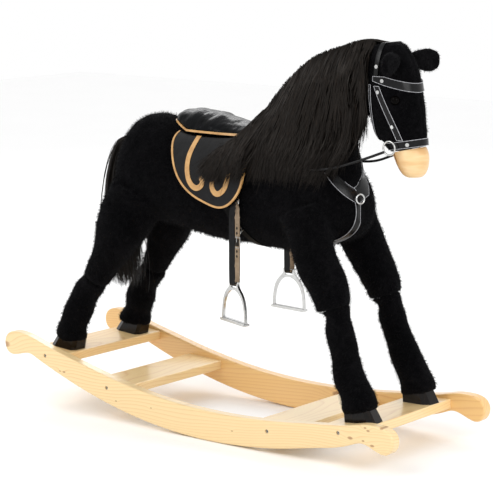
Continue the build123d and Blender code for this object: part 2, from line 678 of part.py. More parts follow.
neck_plus = ellipse_loft(tilted_sections(NECK, GROW))
with BuildPart() as breast_shell:
    add(torso_plus)
    add(neck_plus)
    add(torso_full, mode=Mode.SUBTRACT)
    add(neck_full, mode=Mode.SUBTRACT)
breast_tools = (mane_clean.part, reins.part)
near_strap = cut_band(breast_shell.part, wedge(RING, (262, -76, 541), (150, 0, 668), 10, (-110, RING[1] + 3)), breast_tools)
far_strap = cut_band(breast_shell.part, wedge(RING, (288, 62, 552), (150, 0, 668), 10, (RING[1] + 3, 110)), breast_tools)
breast_lower = cut_band(breast_shell.part, slab((290, 430), (0.2, 1), 400, (236, 345), (380, 487), (-32, -20)), (near_strap, far_strap) + front_legs)


def biggest(part):
    with BuildPart() as one:
        add(part.solids().sort_by(SortBy.VOLUME)[-1])
    return one.part


print("breast", [len(b.solids()) for b in (near_strap, far_strap, breast_lower)])
collar, breast_lower = biggest(near_strap), biggest(breast_lower)
far_strap = biggest(far_strap)
with BuildPart() as breast_straps:
    add(collar)
    add(far_strap)
    add(breast_lower)
print("breast straps", len(breast_straps.part.solids()), breast_straps.part.is_valid)
save(breast_straps.part, "breast_straps")
with BuildPart() as collar_ring:
    with Locations(Plane(origin=(RING[0] + 7.0 + DX, RING[1] - 1.5, RING[2]), z_dir=(0.93, -0.34, 0.1))):
        Torus(9, 1.6)
save(collar_ring.part, "collar_ring")

# --------------------------------------------------------------- girth buckle
with BuildPart() as girth_buckle:
    for s in (-1, 1):
        with BuildSketch(Plane(origin=(56 + DX, s * 68, 408), x_dir=(0.5, 0, -0.866), z_dir=(0.3, s * 0.86, -0.42))):
            RectangleRounded(20, 22, 3)
            RectangleRounded(14, 16, 1.5, mode=Mode.SUBTRACT)
            with Locations((2, 0)):
                Rectangle(20, 2)
        extrude(amount=2.2)
    add(girth, mode=Mode.SUBTRACT)
    add(torso_full, mode=Mode.SUBTRACT)
print("buckles", len(girth_buckle.part.solids()))
save(girth_buckle.part, "girth_buckles")

# --------------------------------------------------------------------- studs
def stud(x, y, z, nx, ny, nz, r=3.6):
    n = Vector(nx, ny, nz).normalized()
    return Plane(origin=Vector(x + DX, y, z), z_dir=n), r


STUDS = []
for s in (-1, 1):
    for x, y, z, nx, nz in ((371, 46.5, 742, 0, 0.1), (386, 49.5, 716.5, 0.1, 0), (377, 50.0, 695, 0, 0), (403, 39.6, 631, 0, -0.1),
                            (432, 32.5, 599, 0.5, 0)):
        STUDS.append((x, s * y, z, nx, s, nz))
with BuildPart() as strap_studs:
    for x, y, z, nx, ny, nz in STUDS:
        n = Vector(nx, ny, nz).normalized()
        with BuildSketch(Plane(origin=Vector(x + DX, y, z) - n * 3.0, z_dir=n)):
            Circle(3.6)
        extrude(amount=5.4)
    for tool in (head_plus, head_full):
        add(tool, mode=Mode.SUBTRACT)
print("studs", len(strap_studs.part.solids()))
save(strap_studs.part, "strap_studs")


# ------------------------------------------- stirrup hangers, leathers, irons
def closed_band(points, half):
    """(outer, inner) outlines either side of a closed centre line"""
    n = len(points)
    dense = []
    for i in range(n):
        p0, p1, p2, p3 = (points[(i + k) % n] for k in (-1, 0, 1, 2))
        for t in (0.0, 0.5):
            dense.append(tuple(0.5 * (2 * p1[k] + (p2[k] - p0[k]) * t + (2 * p0[k] - 5 * p1[k] + 4 * p2[k] - p3[k]) * t * t
                                      + (3 * p1[k] - p0[k] - 3 * p2[k] + p3[k]) * t**3) for k in (0, 1)))
    m = len(dense)
    outer, inner = [], []
    for i in range(m):
        a, b = dense[i - 1], dense[(i + 1) % m]
        dx, dy = b[0] - a[0], b[1] - a[1]
        ln = math.hypot(dx, dy)
        outer.append((dense[i][0] - dy / ln * half, dense[i][1] + dx / ln * half))
        inner.append((dense[i][0] + dy / ln * half, dense[i][1] - dx / ln * half))
    return outer, inner


LOOP = [(0, 468.1), (3.2, 465.6), (3.6, 461), (5.6, 451), (7.6, 438), (8.0, 410), (8.0, 370), (8.0, 335), (7.6, 318), (7.4, 308), (5.8, 302),
        (0, 298.7), (-5.8, 302), (-7.4, 308), (-7.6, 318), (-8.0, 335), (-8.0, 370), (-8.0, 410), (-7.6, 438), (-5.6, 451), (-3.6, 461), (-3.2, 465.6)]
YAW = {"right": -20.0, "left": -6.0}
for side, s in (("left", 1), ("right", -1)):
    mid = s * LEATHER_Y
    with BuildPart() as hanger:
        with BuildSketch(Plane(origin=(GIRTH_X + DX, mid - 1, 0), x_dir=(1, 0, 0), z_dir=(0, -1, 0)).offset(-2)):
            with Locations((0, HANG_Z)):
                Circle(7.5)
            with BuildLine():
                Polyline((-6.5, HANG_Z - 2), (-11.5, HANG_Z - 9), (-11.5, HANG_Z - 22), (11.5, HANG_Z - 22), (11.5, HANG_Z - 9),
                         (6.5, HANG_Z - 2), close=True)
            make_face()
            with Locations((0, HANG_Z)):
                Circle(2.8, mode=Mode.SUBTRACT)
            with Locations((0, 469.3)):
                Rectangle(17, 6.4, mode=Mode.SUBTRACT)
        extrude(amount=2)
    save(hanger.part, "stirrup_hanger_" + side)
    outer, inner = closed_band(LOOP, 0.9)
    with BuildPart() as leather:
        with BuildSketch(Plane(origin=(GIRTH_X - 7 + DX, mid, 0), x_dir=(0, 1, 0), z_dir=(1, 0, 0))):
            with BuildLine():
                Spline(*outer, periodic=True)
            make_face()
            with BuildLine():
                Spline(*inner, periodic=True)
            make_face(mode=Mode.SUBTRACT)
        extrude(amount=14)
    print("leather", side, leather.part.is_valid, round(leather.part.volume), hanger.part.bounding_box().min, hanger.part.bounding_box().max)
    save(leather.part, "stirrup_leather_" + side)
    a = math.radians(YAW[side])
    own = Plane(origin=(GIRTH_X + DX, mid, 0), x_dir=(math.cos(a), math.sin(a), 0), z_dir=(math.sin(a), -math.cos(a), 0))
    with BuildPart() as iron:
        with BuildSketch(own.offset(-2.5)):
            with BuildLine():
                outer_pts = [(-44, 224), (-43.5, 244), (-41, 261), (-35.5, 276), (-26, 288), (-17, 296.5), (-15, 307.5)]
                Spline(*outer_pts)
                Line((-15, 307.5), (15, 307.5))
                Spline(*[(-x, z) for x, z in reversed(outer_pts)])
                Line((44, 224), (-44, 224))
            make_face()
            with BuildLine():
                inner_pts = [(-39, 230), (-38.5, 244), (-36, 259), (-30.5, 272), (-20, 283.5), (0, 290.5)]
                Spline(*(inner_pts + [(-x, z) for x, z in reversed(inner_pts[:-1])]))
                Line((39, 230), (-39, 230))
            make_face(mode=Mode.SUBTRACT)
            with Locations((0, 299)):
                Rectangle(21, 9.0, mode=Mode.SUBTRACT)
            with Locations((0, 306.2)):
                Rectangle(21, 6.0, mode=Mode.SUBTRACT)
        extrude(amount=5)
        with BuildSketch(own.offset(-7)):
            with Locations((0, 226.5)):
                RectangleRounded(89, 5, 1.2)
        extrude(amount=14)
        with BuildSketch(Plane(origin=own.from_local_coords(Vector(-12, EYE_Z, 0)), z_dir=own.x_dir)):
            Circle(2.2)
        extrude(amount=24)
    print("iron", side, iron.part.is_valid, len(iron.part.solids()), round(iron.part.volume), iron.part.bounding_box())
    save(iron.part, "stirrup_" + side)
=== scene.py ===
import math

import bmesh
import bpy
import numpy as np
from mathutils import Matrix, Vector, noise
from mathutils.bvhtree import BVHTree


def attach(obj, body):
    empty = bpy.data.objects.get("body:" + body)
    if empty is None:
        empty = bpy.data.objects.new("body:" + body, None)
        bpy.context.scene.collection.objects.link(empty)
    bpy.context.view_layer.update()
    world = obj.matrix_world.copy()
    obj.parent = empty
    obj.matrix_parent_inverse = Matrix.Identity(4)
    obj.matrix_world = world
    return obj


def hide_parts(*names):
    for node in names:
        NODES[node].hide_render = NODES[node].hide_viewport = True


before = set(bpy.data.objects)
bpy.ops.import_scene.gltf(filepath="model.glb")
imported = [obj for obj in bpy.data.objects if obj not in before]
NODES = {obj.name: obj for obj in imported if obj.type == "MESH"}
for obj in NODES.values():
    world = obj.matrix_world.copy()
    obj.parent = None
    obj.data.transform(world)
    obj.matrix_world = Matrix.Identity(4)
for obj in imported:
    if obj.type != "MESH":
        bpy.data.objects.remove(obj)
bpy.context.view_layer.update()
DX = -0.0036
TILT = math.radians(3.56)


# ------------------------------------------------------------ node helpers
class Tree:
    def __init__(self, name, base=(0.5, 0.5, 0.5), rough=0.5):
        self.mat = bpy.data.materials.new(name)
        self.mat.use_nodes = True
        self.nt = self.mat.node_tree
        self.bsdf = next(n for n in self.nt.nodes if n.type == "BSDF_PRINCIPLED")
        self.bsdf.inputs["Base Color"].default_value = (*base, 1)
        self.bsdf.inputs["Roughness"].default_value = rough

    def node(self, kind, **props):
        n = self.nt.nodes.new(kind)
        for k, v in props.items():
            setattr(n, k, v)
        return n

    def link(self, a, b):
        self.nt.links.new(a, b)

    def set(self, name, value):
        self.bsdf.inputs[name].default_value = value

    def math(self, op, a, b=None, c=None, clamp=False):
        n = self.node("ShaderNodeMath", operation=op, use_clamp=clamp)
        for i, v in enumerate((a, b, c)):
            if v is None:
                continue
            if isinstance(v, (int, float)):
                n.inputs[i].default_value = v
            else:
                self.link(v, n.inputs[i])
        return n.outputs[0]

    def coords(self, scale=(1, 1, 1), rot=(0, 0, 0), loc=(0, 0, 0)):
        tc = self.node("ShaderNodeTexCoord")
        mp = self.node("ShaderNodeMapping")
        mp.inputs["Scale"].default_value = scale
        mp.inputs["Rotation"].default_value = rot
        mp.inputs["Location"].default_value = loc
        self.link(tc.outputs["Object"], mp.inputs["Vector"])
        return mp.outputs[0]

    def noise(self, vec, scale, detail=3.0, rough=0.55):
        n = self.node("ShaderNodeTexNoise")
        n.inputs["Scale"].default_value = scale
        n.inputs["Detail"].default_value = detail
        n.inputs["Roughness"].default_value = rough
        self.link(vec, n.inputs["Vector"])
        return n.outputs["Fac"]

    def ramp(self, fac, stops):
        n = self.node("ShaderNodeValToRGB")
        e = n.color_ramp.elements
        while len(e) < len(stops):
            e.new(0.5)
        for el, (p, c) in zip(e, stops):
            el.position = p
            el.color = (*c, 1) if len(c) == 3 else c
        self.link(fac, n.inputs["Fac"])
        return n.outputs["Color"]

    def mix(self, fac, a, b, mode="MIX"):
        n = self.node("ShaderNodeMix", data_type="RGBA", blend_type=mode)
        for sock, v in ((n.inputs[0], fac), (n.inputs[6], a), (n.inputs[7], b)):
            if isinstance(v, (int, float)):
                sock.default_value = v
            elif isinstance(v, tuple):
                sock.default_value = (*v, 1)
            else:
                self.link(v, sock)
        return n.outputs[2]

    def bump(self, height, strength, distance, normal=None):
        n = self.node("ShaderNodeBump")
        n.inputs["Strength"].default_value = strength
        n.inputs["Distance"].default_value = distance
        self.link(height, n.inputs["Height"])
        if normal is not None:
            self.link(normal, n.inputs["Normal"])
        return n.outputs["Normal"]


def pine(name, grain, centre, spacing, knots=(), warm=0.0, seed=0.0, tone=1.0):
    """varnished softwood: growth rings about an axis beside the board, knots with rings bent round them"""
    t = Tree(name, rough=0.3)
    rot = (0, TILT, 0) if grain == "X" else (0, 0, math.radians(90))
    base = t.coords(rot=rot)
    # slow wander of the rings along the board
    stretched = t.node("ShaderNodeVectorMath", operation="MULTIPLY")
    t.link(base, stretched.inputs[0])
    stretched.inputs[1].default_value = (1.9, 8.0, 8.0)
    wander = t.node("ShaderNodeTexNoise")
    wander.inputs["Scale"].default_value = 1.0
    wander.inputs["Detail"].default_value = 2.0
    off = t.node("ShaderNodeVectorMath", operation="ADD")
    t.link(stretched.outputs[0], off.inputs[0])
    off.inputs[1].default_value = (seed, seed * 0.7, 0)
    t.link(off.outputs[0], wander.inputs["Vector"])
    sep = t.node("ShaderNodeSeparateXYZ")
    t.link(base, sep.inputs[0])
    a = t.math("SUBTRACT", sep.outputs["Y"], centre[0])
    b = t.math("SUBTRACT", sep.outputs["Z"], centre[1])
    r = t.math("SQRT", t.math("ADD", t.math("MULTIPLY", a, a), t.math("MULTIPLY", b, b)))
    r = t.math("ADD", r, t.math("MULTIPLY", wander.outputs["Fac"], 0.075))
    tc = t.node("ShaderNodeTexCoord")
    dark = None
    for kx, kz, size in knots:
        d = t.node("ShaderNodeVectorMath", operation="SUBTRACT")
        t.link(tc.outputs["Object"], d.inputs[0])
        d.inputs[1].default_value = (kx, 0, kz)
        m = t.node("ShaderNodeVectorMath", operation="MULTIPLY")
        t.link(d.outputs[0], m.inputs[0])
        m.inputs[1].default_value = (0.5, 0, 1)
        ln = t.node("ShaderNodeVectorMath", operation="LENGTH")
        t.link(m.outputs[0], ln.inputs[0])
        dist = ln.outputs["Value"]
        g = t.math("DIVIDE", dist, size * 3.0)
        g = t.math("POWER", 2.718, t.math("MULTIPLY", t.math("MULTIPLY", g, g), -1.0))
        r = t.math("ADD", r, t.math("MULTIPLY", g, size * 2.2))
        k = t.math("SUBTRACT", 1.0, t.math("DIVIDE", dist, size), clamp=True)
        k = t.math("MULTIPLY", k, 2.2, clamp=True)
        dark = k if dark is None else t.math("MAXIMUM", dark, k)
    ring = t.math("FRACT", t.math("DIVIDE", r, spacing))
    fine_vec = t.node("ShaderNodeVectorMath", operation="MULTIPLY")
    t.link(base, fine_vec.inputs[0])
    fine_vec.inputs[1].default_value = (12, 900, 900)
    fibre = t.noise(fine_vec.outputs[0], 1.0, 2.0)
    cloud_vec = t.node("ShaderNodeVectorMath", operation="MULTIPLY")
    t.link(base, cloud_vec.inputs[0])
    cloud_vec.inputs[1].default_value = (3, 22, 22)
    cloud = t.noise(cloud_vec.outputs[0], 1.0, 3.0)
    # tone scales every wood colour; above 1 it is painted light that lifts boards lying in the horse's shadow
    early = (0.84 * tone, (0.630 - warm * 1.5) * tone, (0.325 - warm * 1.8) * tone)
    mid = (0.79 * tone, (0.565 - warm * 1.5) * tone, (0.285 - warm * 1.5) * tone)
    late = (0.66 * tone, (0.385 - warm) * tone, (0.15 - warm * 0.9) * tone)
    col = t.ramp(ring, [(0.0, mid), (0.10, early), (0.55, early), (0.84, mid), (0.95, late), (1.0, mid)])
    col = t.mix(t.math("MULTIPLY", cloud, 0.75), col, (0.86 * tone, (0.650 - warm * 1.3) * tone, (0.350 - warm * 1.6) * tone))
    col = t.mix(t.math("MULTIPLY", fibre, 0.12), col, late)
    if dark is not None:
        col = t.mix(t.math("MULTIPLY", dark, 0.72), col, (0.30, 0.125, 0.042))
    t.link(col, t.bsdf.inputs["Base Color"])
    t.link(t.bump(t.math("ADD", ring, fibre), 0.12, 0.0003), t.bsdf.inputs["Normal"])
    t.link(t.math("MULTIPLY_ADD", fibre, 0.12, 0.24), t.bsdf.inputs["Roughness"])
    t.set("Coat Weight", 0.35)
    t.set("Coat Roughness", 0.12)
    return t.mat


def plush_material():
    t = Tree("plush", (0.001, 0.001, 0.0012), 0.95)
    v = t.coords()
    clump = t.noise(v, 130, 4.0, 0.65)
    patch = t.noise(v, 17, 3.0, 0.6)
    both = t.math("MULTIPLY_ADD", clump, 0.55, t.math("MULTIPLY", patch, 0.45))
    col = t.ramp(both, [(0.3, (0.0006, 0.0006, 0.0008)), (0.5, (0.0020, 0.0019, 0.0023)), (0.72, (0.0062, 0.0059, 0.0066))])
    t.link(col, t.bsdf.inputs["Base Color"])
    t.link(t.bump(t.math("MULTIPLY_ADD", clump, 0.7, t.noise(v, 420, 2.0)), 0.9, 0.003), t.bsdf.inputs["Normal"])
    t.set("Specular IOR Level", 0.03)
    t.set("Sheen Weight", 0.035)
    t.set("Sheen Roughness", 0.45)
    t.set("Sheen Tint", (0.45, 0.45, 0.5, 1))
    return t.mat


def pile_material():
    t = Tree("pile", (0.006, 0.006, 0.0066), 0.7)
    patch = t.noise(t.coords(), 60, 3.0, 0.6)
    t.link(t.ramp(patch, [(0.3, (0.0007, 0.0007, 0.0009)), (0.7, (0.0075, 0.0070, 0.0075))]), t.bsdf.inputs["Base Color"])
    t.set("Specular IOR Level", 0.10)
    return t.mat


def hair_material():
    t = Tree("hair", (0.006, 0.005, 0.0045), 0.38)
    tone = t.noise(t.coords(scale=(1, 1, 0.12)), 240, 2.0, 0.6)
    t.link(t.ramp(tone, [(0.3, (0.0008, 0.0006, 0.0005)), (0.6, (0.0032, 0.0020, 0.0014)), (0.8, (0.015, 0.0084, 0.0050))]),
           t.bsdf.inputs["Base Color"])
    t.set("Specular IOR Level", 0.2)
    t.set("Specular Tint", (1.0, 0.9, 0.82, 1.0))
    return t.mat


def vinyl_material(name, col=(0.0028, 0.0028, 0.0032), rough=0.22, wrinkle=0.0, scale=1.0, gloss=0.17):
    t = Tree(name, col, rough)
    v = t.coords()
    grain = t.node("ShaderNodeTexVoronoi")
    grain.inputs["Scale"].default_value = 900 * scale
    t.link(v, grain.inputs["Vector"])
    worn = t.noise(v, 45, 4.0, 0.6)
    t.link(t.ramp(worn, [(0.35, tuple(c * 0.6 for c in col)), (0.75, tuple(c * 1.9 for c in col))]), t.bsdf.inputs["Base Color"])
    t.link(t.math("MULTIPLY_ADD", worn, 0.22, rough - 0.08), t.bsdf.inputs["Roughness"])
    n = t.bump(grain.outputs["Distance"], 0.2, 0.0003)
    if wrinkle:
        stretched = t.coords(scale=(46, 16, 22))
        n = t.bump(t.noise(stretched, 1.0, 3.0, 0.55), wrinkle, 0.006, n)
    t.link(n, t.bsdf.inputs["Normal"])
    t.set("Specular IOR Level", gloss)
    t.set("Coat Weight", 0.6 * gloss)
    t.set("Coat Roughness", 0.12)
    return t.mat


def metal_material(name, col=(0.66, 0.66, 0.65), rough=0.18):
    t = Tree(name, col, rough)
    v = t.coords()
    wear = t.noise(v, 160, 4.0, 0.65)
    t.link(t.ramp(wear, [(0.3, tuple(c * 0.72 for c in col)), (0.7, col)]), t.bsdf.inputs["Base Color"])
    t.link(t.math("MULTIPLY_ADD", wear, 0.2, rough - 0.07), t.bsdf.inputs["Roughness"])
    t.link(t.bump(wear, 0.12, 0.0004), t.bsdf.inputs["Normal"])
    t.set("Metallic", 1.0)
    return t.mat


def tan_material():
    t = Tree("tan_vinyl", (0.5, 0.29, 0.1), 0.42)
    v = t.coords()
    patch = t.noise(v, 70, 4.0, 0.6)
    t.link(t.ramp(patch, [(0.3, (0.42, 0.215, 0.066)), (0.7, (0.60, 0.345, 0.125))]), t.bsdf.inputs["Base Color"])
    t.link(t.bump(t.noise(v, 900, 2.0), 0.25, 0.0004), t.bsdf.inputs["Normal"])
    t.set("Coat Weight", 0.2)
    return t.mat


def muzzle_material():
    t = Tree("muzzle_wood", (0.86, 0.62, 0.36), 0.42)
    v = t.coords(scale=(14, 14, 60))
    band = t.noise(v, 1.0, 3.0, 0.5)
    fine = t.noise(t.coords(scale=(60, 60, 600)), 1.0, 2.0)
    col = t.ramp(band, [(0.3, (0.68, 0.40, 0.16)), (0.5, (0.80, 0.54, 0.26)), (0.62, (0.84, 0.61, 0.33)), (0.78, (0.74, 0.46, 0.20))])
    nsep = t.node("ShaderNodeSeparateXYZ")
    t.link(t.node("ShaderNodeTexCoord").outputs["Normal"], nsep.inputs[0])
    # the lacquer is thicker and darker round the back, beside the slit
    # painted shade round the back, beside the slit: faces whose normal points rearwards (X below 0.2) are mixed towards
    # a dark brown
    back = t.math("MULTIPLY", t.math("MAXIMUM", t.math("SUBTRACT", 0.2, nsep.outputs["X"]), 0.0), 0.75)
    col = t.mix(t.math("MULTIPLY", fine, 0.3), col, (0.56, 0.30, 0.11))
    t.link(t.mix(back, col, (0.50, 0.23, 0.06)), t.bsdf.inputs["Base Color"])
    t.link(t.bump(fine, 0.1, 0.0003), t.bsdf.inputs["Normal"])
    t.set("Coat Weight", 0.15)
    return t.mat


def leather_loop_material():
    """glossy black on the outside of the loop, beige backing on its inside"""
    t = Tree("stirrup_leather", rough=0.28)
    tc = t.node("ShaderNodeTexCoord")
    sep = t.node("ShaderNodeSeparateXYZ")
    t.link(tc.outputs["Object"], sep.inputs[0])
    nsep = t.node("ShaderNodeSeparateXYZ")
    t.link(tc.outputs["Normal"], nsep.inputs[0])
    # which side of the loop's middle this face lies on, times the way it faces: negative means it faces into the loop
    across = t.math("SUBTRACT", t.math("ABSOLUTE", sep.outputs["Y"]), 0.089)
    facing = t.math("MULTIPLY", nsep.outputs["Y"], t.math("SIGN", sep.outputs["Y"]))
    inner = t.math("LESS_THAN", t.math("MULTIPLY", across, facing), 0.0)
    v = t.coords()
    worn = t.noise(v, 90, 4.0, 0.6)
    black = t.ramp(worn, [(0.3, (0.002, 0.002, 0.0022)), (0.75, (0.008, 0.008, 0.009))])
    beige = t.ramp(worn, [(0.3, (0.36, 0.26, 0.17)), (0.75, (0.52, 0.40, 0.28))])
    t.link(t.mix(inner, black, beige), t.bsdf.inputs["Base Color"])
    t.link(t.bump(t.noise(v, 800, 2.0), 0.2, 0.0004), t.bsdf.inputs["Normal"])
    t.set("Specular IOR Level", 0.14)
    t.set("Coat Weight", 0.03)
    return t.mat


def hoof_material():
    t = Tree("hoof", (0.006, 0.0045, 0.004), 0.16)
    v = t.coords(scale=(1, 1, 0.25))
    streak = t.noise(v, 180, 4.0, 0.6)
    t.link(t.ramp(streak, [(0.35, (0.002, 0.0016, 0.0014)), (0.7, (0.011, 0.0065, 0.004))]), t.bsdf.inputs["Base Color"])
    t.link(t.bump(streak, 0.25, 0.001), t.bsdf.inputs["Normal"])
    t.link(t.math("MULTIPLY_ADD", streak, 0.15, 0.1), t.bsdf.inputs["Roughness"])
    t.set("Specular IOR Level", 0.16)
    t.set("Coat Weight", 0.08)
    return t.mat


PLUSH, PILE, HAIR = plush_material(), pile_material(), hair_material()
VINYL = vinyl_material("black_vinyl")
SEAT = vinyl_material("seat_vinyl", (0.0018, 0.0021, 0.0026), wrinkle=0.55, rough=0.2, gloss=0.06)
FLAP = vinyl_material("flap_vinyl", wrinkle=0.25, rough=0.26)
NICKEL, TAN, HOOF, MUZZLE = metal_material("nickel"), tan_material(), hoof_material(), muzzle_material()
ZINC = metal_material("zinc", (0.5, 0.5, 0.5), 0.35)
TUBE = metal_material("frame_tube", (0.05, 0.05, 0.055), 0.4)
EDGE = Tree("edge_line", (0.42, 0.42, 0.44), 0.4)
EDGE.link(EDGE.ramp(EDGE.noise(EDGE.coords(), 300), [(0.3, (0.25, 0.25, 0.27)), (0.7, (0.5, 0.5, 0.52))]), EDGE.bsdf.inputs["Base Color"])

KNOTS_RIGHT = [(0.4013, 0.0625, 0.0036), (0.4418, 0.0825, 0.0024), (0.4350, 0.0871, 0.0020), (0.4708, 0.0910, 0.0023),
               (0.4308, 0.0617, 0.0020), (0.4511, 0.0555, 0.0030), (-0.3257, 0.0831, 0.0024), (-0.3371, 0.0836, 0.0017),
               (-0.1819, 0.0436, 0.0017), (-0.0879, 0.0436, 0.0015), (0.12, 0.030, 0.0016), (-0.4960, 0.1200, 0.0085)]
KNOTS_LEFT = [(0.1420, 0.047, 0.0062), (-0.18, 0.06, 0.003)]
# the tone values above 1 on three boards under the horse are painted light, offsetting the horse's shadow on them
WOOD = {
    "rocker_right": pine("pine_rocker_right", "X", (-0.215, -0.10), 0.0062, KNOTS_RIGHT, seed=1.3),
    "rocker_left": pine("pine_rocker_left", "X", (0.24, -0.08), 0.0058, KNOTS_LEFT, warm=0.07, seed=6.1),
    "front_hoof_plank": pine("pine_front_hoof_plank", "Y", (0.39, -0.05), 0.0052, warm=0.01, seed=2.2, tone=1.06),
    "front_foot_slat": pine("pine_front_slat", "Y", (0.17, -0.09), 0.0060, seed=3.7),
    "rear_foot_slat": pine("pine_rear_slat", "Y", (-0.24, -0.07), 0.0056, warm=0.01, seed=4.4, tone=1.06),
    "rear_hoof_plank": pine("pine_rear_hoof_plank", "Y", (-0.35, -0.04), 0.0054, warm=0.03, seed=8.2, tone=1.04),
}


def dress(node, mat):
    o = NODES[node]
    if not o.material_slots:
        o.data.materials.append(mat)
    for s in o.material_slots:
        s.material = mat


for n, m in WOOD.items():
    dress(n, m)
for n in ("plank_screws", "hoof_bolts", "hoof_nuts"):
    dress(n, ZINC)
for n in ("front_leg_frame", "rear_leg_frame", "spine_tube", "neck_post"):
    dress(n, TUBE)
for n in ("hoof_front_left", "hoof_front_right", "hoof_rear_left", "hoof_rear_right"):
    dress(n, HOOF)
for n in ("crown_strap", "browband", "cheekpieces", "noseband", "throatlatch", "reins", "breast_straps", "girth_strap"):
    dress(n, VINYL)
dress("girth_strap", vinyl_material("girth_vinyl", (0.0016, 0.0016, 0.0018), 0.6, gloss=0.05))
for n in ("saddle_flap_left", "saddle_flap_right"):
    dress(n, FLAP)
for n in ("flap_applique", "saddle_piping"):
    dress(n, TAN)
for n in ("bit_rings", "collar_ring", "girth_buckles", "strap_studs", "hanger_rivets", "stirrup_hanger_left", "stirrup_hanger_right",
          "stirrup_left", "stirrup_right"):
    dress(n, NICKEL)
LOOP = leather_loop_material()
for n in ("stirrup_leather_left", "stirrup_leather_right"):
    dress(n, LOOP)


# --------------------------------------------------------------- mesh tools
def world_mesh(names):
    verts, faces = [], []
    for n in names:
        me = NODES[n].data
        k = len(verts)
        verts += [v.co.copy() for v in me.vertices]
        faces += [tuple(k + i for i in p.vertices) for p in me.polygons]
    return verts, faces


def new_object(name, verts, faces, mat=None, smooth=True):
    me = bpy.data.meshes.new(name)
    me.from_pydata([tuple(v) for v in verts], [], faces)
    me.update()
    if smooth:
        me.polygons.foreach_set("use_smooth", [True] * len(me.polygons))
    o = bpy.data.objects.new(name, me)
    bpy.context.scene.collection.objects.link(o)
    if mat:
        me.materials.append(mat)
    return o


def apply_modifiers(o):
    dg = bpy.context.evaluated_depsgraph_get()
    me = bpy.data.meshes.new_from_object(o.evaluated_get(dg))
    old = o.data
    o.modifiers.clear()
    o.data = me
    bpy.data.meshes.remove(old)
    me.polygons.foreach_set("use_smooth", [True] * len(me.polygons))
    return o


def skin(name, names, voxel, smooth, mat, extra=None):
    """one closed skin over several solids"""
    verts, faces = world_mesh(names)
    o = new_object(name, verts, faces, mat)
    bm = bmesh.new()
    bm.from_mesh(o.data)
    bmesh.ops.remove_doubles(bm, verts=bm.verts, dist=0.00005)
    bm.to_mesh(o.data)
    bm.free()
    m = o.modifiers.new("r", "REMESH")
    m.mode = "VOXEL"
    m.voxel_size = voxel
    s = o.modifiers.new("s", "SMOOTH")
    s.factor, s.iterations = 0.5, smooth
    apply_modifiers(o)
    if not o.data.materials:
        o.data.materials.append(mat)
    return o


def arrays(o):
    me = o.data
    co = np.empty(len(me.vertices) * 3)
    me.vertices.foreach_get("co", co)
    no = np.empty(len(me.vertices) * 3)
    me.vertices.foreach_get("normal", no)
    return co.reshape(-1, 3), no.reshape(-1, 3)


def set_co(o, co):
    o.data.vertices.foreach_set("co", co.reshape(-1))
    o.data.update()


def lumps(o, amount, size, seed=0.0, squeeze=None):
    """stuffing unevenness along the normals; squeeze(p) returns a further offset"""
    co, no = arrays(o)
    d = np.empty(len(co))
    for i, p in enumerate(co):
        q = Vector(p) / size + Vector((seed, 0, 0))
        d[i] = amount * (noise.noise(q) + 0.5 * noise.noise(q * 2.3))
        if squeeze is not None:
            d[i] += squeeze(p)
    set_co(o, co + no * d[:, None])


def tree_of(objs):
    verts, faces = [], []
    for o in objs:
        k = len(verts)
        verts += [v.co.copy() for v in o.data.vertices]
        faces += [tuple(k + i for i in p.vertices) for p in o.data.polygons]
    return BVHTree.FromPolygons(verts, faces)


STRAPS = [NODES[n] for n in ("crown_strap", "browband", "cheekpieces", "noseband", "throatlatch", "breast_straps", "girth_strap",
                             "saddle_flap_left", "saddle_flap_right", "saddle_piping", "saddle_seat", "muzzle_upper", "muzzle_lower",
                             "eyes", "hoof_front_left", "hoof_front_right", "hoof_rear_left", "hoof_rear_right")]
strap_tree = tree_of(STRAPS)


def pile(name, o, per_m2, length, width, seed, lean=(-0.25, 0.0, -0.75), keep_off=0.0035):
    """short fibres standing off a skin and combed one way, one tapered blade each"""
    rng = np.random.RandomState(seed)
    me = o.data
    me.calc_loop_triangles()
    tri = np.empty(len(me.loop_triangles) * 3, dtype=np.int64)
    me.loop_triangles.foreach_get("vertices", tri)
    tri = tri.reshape(-1, 3)
    co, no = arrays(o)
    A, B, C = co[tri[:, 0]], co[tri[:, 1]], co[tri[:, 2]]
    area = np.linalg.norm(np.cross(B - A, C - A), axis=1) / 2
    count = int(area.sum() * per_m2)
    pick = rng.choice(len(tri), size=count, p=area / area.sum())
    u, v = rng.rand(count, 1), rng.rand(count, 1)
    flip = (u + v) > 1
    u, v = np.where(flip, 1 - u, u), np.where(flip, 1 - v, v)
    P = A[pick] * (1 - u - v) + B[pick] * u + C[pick] * v
    Nn = no[tri[pick, 0]] * (1 - u - v) + no[tri[pick, 1]] * u + no[tri[pick, 2]] * v
    Nn /= np.linalg.norm(Nn, axis=1)[:, None] + 1e-9
    L = length * (0.55 + 0.75 * rng.rand(count, 1))
    D = Nn + np.array(lean)[None, :] * 0.55 + rng.normal(0, 0.32, (count, 3))
    D /= np.linalg.norm(D, axis=1)[:, None]
    T = np.cross(D, rng.normal(0, 1, (count, 3)))
    T /= np.linalg.norm(T, axis=1)[:, None] + 1e-9
    keep = np.ones(count, dtype=bool)
    for i in range(count):
        hit = strap_tree.find_nearest(Vector(P[i]), 0.02)
        if hit[3] is not None:
            if hit[3] < keep_off:
                keep[i] = False
            elif hit[3] < 0.012:
                L[i] *= 0.35 + 0.65 * (hit[3] - keep_off) / 0.0085
    P, D, T, L = P[keep], D[keep], T[keep], L[keep]
    W = width * (0.7 + 0.6 * rng.rand(len(P), 1))
    v0, v1, v2 = P - T * W / 2 - D * 0.0005, P + T * W / 2 - D * 0.0005, P + D * L
    verts = np.stack([v0, v1, v2], axis=1).reshape(-1, 3)
    faces = [(3 * i, 3 * i + 1, 3 * i + 2) for i in range(len(P))]
    return new_object(name, verts, faces, PILE, smooth=False)


def pad_node(name, nodes, o):
    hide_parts(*nodes)
    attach(o, "horse")


